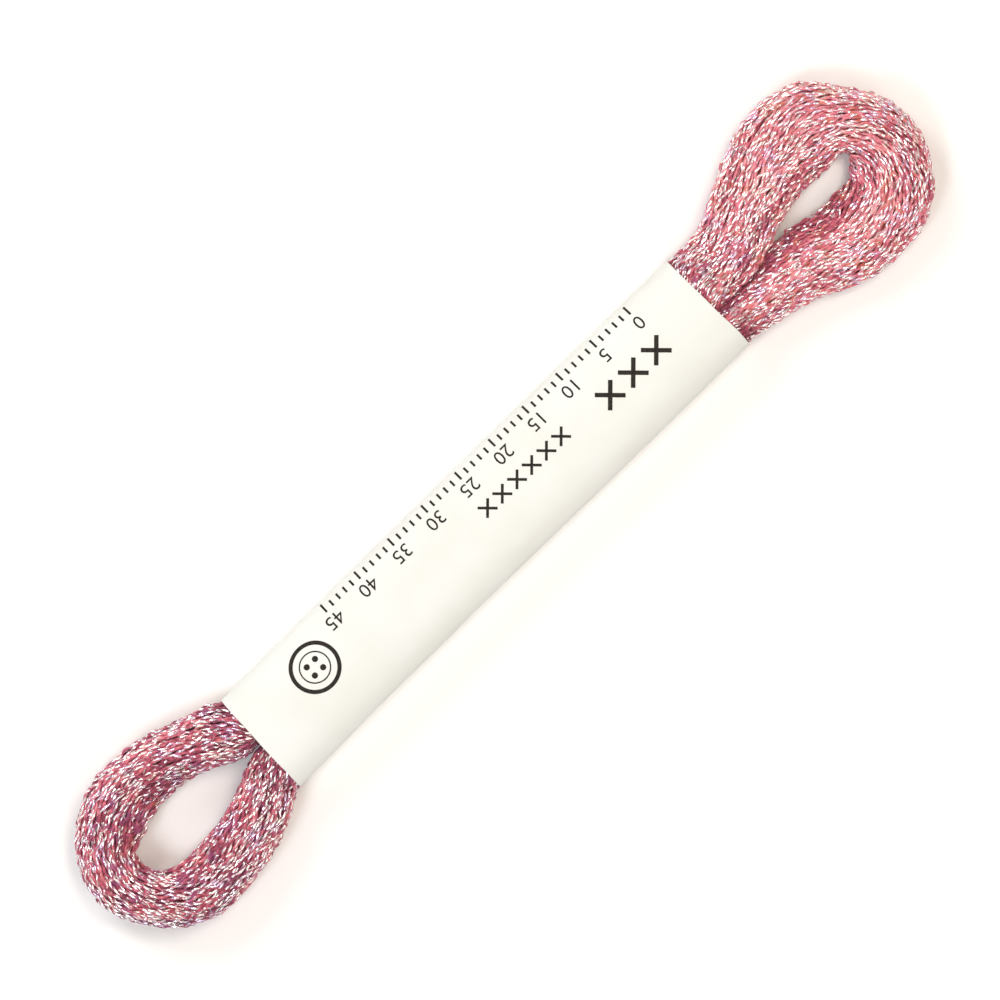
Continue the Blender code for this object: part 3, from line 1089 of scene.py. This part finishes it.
# The print is flat shapes in the band's own measures: along it, and round it
# from its highest line towards the back. It is read from the back.
INK_LIFT = 0.012
INK_SLICE = 0.35
INK_REACH = (-4.0, 9.0)
SCALE_START = 24.2
SCALE_LENGTH = 45
SCALE_PLACE = 5.0
LONG_TICK_EVERY = 5
LONG_TICK = 1.5
SHORT_TICK = 0.95
TICK_WIDTH = 0.25
NUMBER_PLACE = 3.75
NUMBER_HEIGHT = 1.55
NUMERAL_SHARE = 0.7
CROSS_ARM = 1.2
CROSS_ROWS = table(
    "first last pitch place size stroke",
    (-1.0, 12.0, 2.17, 0.75, 1.75, 0.30),
    (16.6, 24.0, 3.4, 0.25, 2.7, 0.48),
)
BUTTON_MIDDLE = (-25.8, 1.6)
BUTTON_RINGS = ((2.85, 2.40), (1.75, 1.60))
BUTTON_HOLE = 0.34
BUTTON_SPREAD = 0.62


def on_circle(middle, radius, angle):
    return middle[0] + radius * math.cos(angle), middle[1] + radius * math.sin(angle)


class Print:
    """Flat shapes for the ink, as corners (along, round) and faces."""

    def __init__(self):
        self.corners = []
        self.faces = []

    def shape(self, corners):
        first = len(self.corners)
        self.corners += [tuple(corner) for corner in corners]
        self.faces.append(tuple(range(first, len(self.corners))))

    def bar(self, middle, size, turn=0.0):
        cos, sin = math.cos(turn), math.sin(turn)
        half = [(-0.5, -0.5), (0.5, -0.5), (0.5, 0.5), (-0.5, 0.5)]
        self.shape([(middle[0] + a * size[0] * cos - b * size[1] * sin,
                     middle[1] + a * size[0] * sin + b * size[1] * cos) for a, b in half])

    def ring(self, middle, outer, inner, steps=64):
        for step in range(steps):
            a = math.tau * step / steps
            b = math.tau * (step + 1) / steps
            corners = (inner, a), (outer, a), (outer, b), (inner, b)
            self.shape([on_circle(middle, radius, angle) for radius, angle in corners])

    def disc(self, middle, radius, steps=16):
        self.shape([on_circle(middle, radius, math.tau * i / steps) for i in range(steps)])

    def number(self, value, middle, height):
        """Plain numerals, with their tops towards the front of the band."""
        text = bpy.data.curves.new("numeral", "FONT")
        text.body = str(value)
        text.align_x = "CENTER"
        text.align_y = "CENTER"
        text.size = height / NUMERAL_SHARE
        text.resolution_u = 3
        holder = add_object("numeral", text)
        mesh = holder.to_mesh()
        first = len(self.corners)
        self.corners += [(middle[0] - v.co.x, middle[1] - v.co.y) for v in mesh.vertices]
        self.faces += [tuple(first + v for v in face.vertices) for face in mesh.polygons]
        holder.to_mesh_clear()
        bpy.data.objects.remove(holder)
        bpy.data.curves.remove(text)


def laid_out_print():
    """A plain millimetre scale, two rows of crosses and a button."""
    ink = Print()
    for step in range(SCALE_LENGTH + 1):
        long = step % LONG_TICK_EVERY == 0
        reach = LONG_TICK if long else SHORT_TICK
        ink.bar((SCALE_START - step, SCALE_PLACE + reach / 2), (TICK_WIDTH, reach))
        if long:
            ink.number(step, (SCALE_START - step, NUMBER_PLACE), NUMBER_HEIGHT)
    for row in CROSS_ROWS:
        for x in np.arange(row.first, row.last + 0.01, row.pitch):
            for turn in (math.pi / 4, -math.pi / 4):
                ink.bar((x, row.place), (row.size * CROSS_ARM, row.stroke), turn)
    for outer, inner in BUTTON_RINGS:
        ink.ring(BUTTON_MIDDLE, outer, inner)
    x, y = BUTTON_MIDDLE
    for a in (-1, 1):
        for b in (-1, 1):
            ink.disc((x + a * BUTTON_SPREAD, y + b * BUTTON_SPREAD), BUTTON_HOLE)
    return ink


def make_print(material):
    """Cuts the print into narrow slices, and wraps it round the band."""
    ink = laid_out_print()
    shapes = bmesh.new()
    corners = [shapes.verts.new((x, y, 0.0)) for x, y in ink.corners]
    for face in ink.faces:
        shapes.faces.new([corners[i] for i in face])
    for level in np.arange(*INK_REACH, INK_SLICE):
        bmesh.ops.bisect_plane(shapes, geom=shapes.verts[:] + shapes.edges[:] + shapes.faces[:],
                               plane_co=(0.0, level, 0.0), plane_no=(0.0, 1.0, 0.0), dist=1e-5)
    bmesh.ops.triangulate(shapes, faces=shapes.faces[:])
    around = band_outline(0.0, np.zeros(1))[2]
    for corner in shapes.verts:
        share = 0.5 - corner.co.y / around
        place, outward = band_point(corner.co.x, share)
        corner.co = (place + INK_LIFT * np.array((0.0, *outward))) * MM
    mesh = bpy.data.meshes.new("band_print")
    shapes.to_mesh(mesh)
    shapes.free()
    mesh.materials.append(material)
    mesh.shade_smooth()
    piece = add_object("band_print", mesh)
    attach(piece, BODY)
    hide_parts("paper_band")


# ---- camera, floor and lights

# The photograph is 1000 pixels wide at 9.4 pixels for each millimetre. Its
# middle is over this place, and its top is turned this far from +Y.
VIEW_WIDTH = 1000 / 9.4
VIEW_MIDDLE = (0.53, 0.44, 3.0)
VIEW_TURN = math.radians(-45.0)
CAMERA_HEIGHT = 520.0

# From here on all lengths are in metres.
FAR_CLIP = 10.0
FLOOR_HALF = 3.0
FLOOR_DROP = 0.00002

# Azimuth is from +X towards +Y, in degrees as elevation is.
LAMPS = table(
    "name azimuth elevation distance size power colour",
    ("right", 0.0, 66.0, 0.45, 0.20, 0.70, (1.12, 1.0, 0.87)),
    ("left", 180.0, 50.0, 0.60, 0.22, 1.18, (0.94, 1.0, 1.08)),
    ("back", 90.0, 35.0, 0.50, 0.25, 1.02, (0.98, 1.0, 1.02)),
    ("front", 270.0, 55.0, 0.50, 0.25, 0.44, (1.04, 1.0, 0.95)),
)
SKY = 0.31
SKY_COLOUR = (1.05, 1.0, 0.94)


def make_camera():
    data = bpy.data.cameras.new("camera")
    data.lens = data.sensor_width * CAMERA_HEIGHT / VIEW_WIDTH
    data.clip_end = FAR_CLIP
    camera = add_object("camera", data)
    x, y, z = VIEW_MIDDLE
    camera.location = (x * MM, y * MM, (z + CAMERA_HEIGHT) * MM)
    camera.rotation_euler = (0.0, 0.0, VIEW_TURN)
    bpy.context.scene.camera = camera


def make_floor(material):
    size = FLOOR_HALF
    corners = [(-size, -size, 0), (size, -size, 0), (size, size, 0), (-size, size, 0)]
    floor = add_object("floor", make_mesh("floor", corners, [(0, 1, 2, 3)], material))
    floor.location.z = -FLOOR_DROP


def make_lights():
    for lamp in LAMPS:
        light = bpy.data.lights.new(lamp.name, "AREA")
        light.shape = "DISK"
        light.size = lamp.size
        light.energy = lamp.power
        light.color = lamp.colour
        holder = add_object(lamp.name, light)
        a = math.radians(lamp.azimuth)
        e = math.radians(lamp.elevation)
        towards = Vector((math.cos(e) * math.cos(a), math.cos(e) * math.sin(a), math.sin(e)))
        holder.location = towards * lamp.distance
        holder.rotation_euler = towards.to_track_quat("Z", "Y").to_euler()
        holder.visible_camera = False
    world = bpy.data.worlds.new("soft_white")
    world.use_nodes = True
    background = world.node_tree.nodes["Background"]
    background.inputs["Color"].default_value = (*SKY_COLOUR, 1.0)
    background.inputs["Strength"].default_value = SKY
    bpy.context.scene.world = world
    bpy.context.scene.view_settings.view_transform = "Standard"


make_camera()
make_floor(plain_material("pale_floor", PALE_FLOOR, 12.0, 2.0, Roughness=0.9))
make_lights()
make_thread(fibre_material(), film_material())
make_band(paper_material())
make_print(plain_material("dark_ink", INK, 2600.0, 3.0, Roughness=0.7, Specular_IOR_Level=0.2))
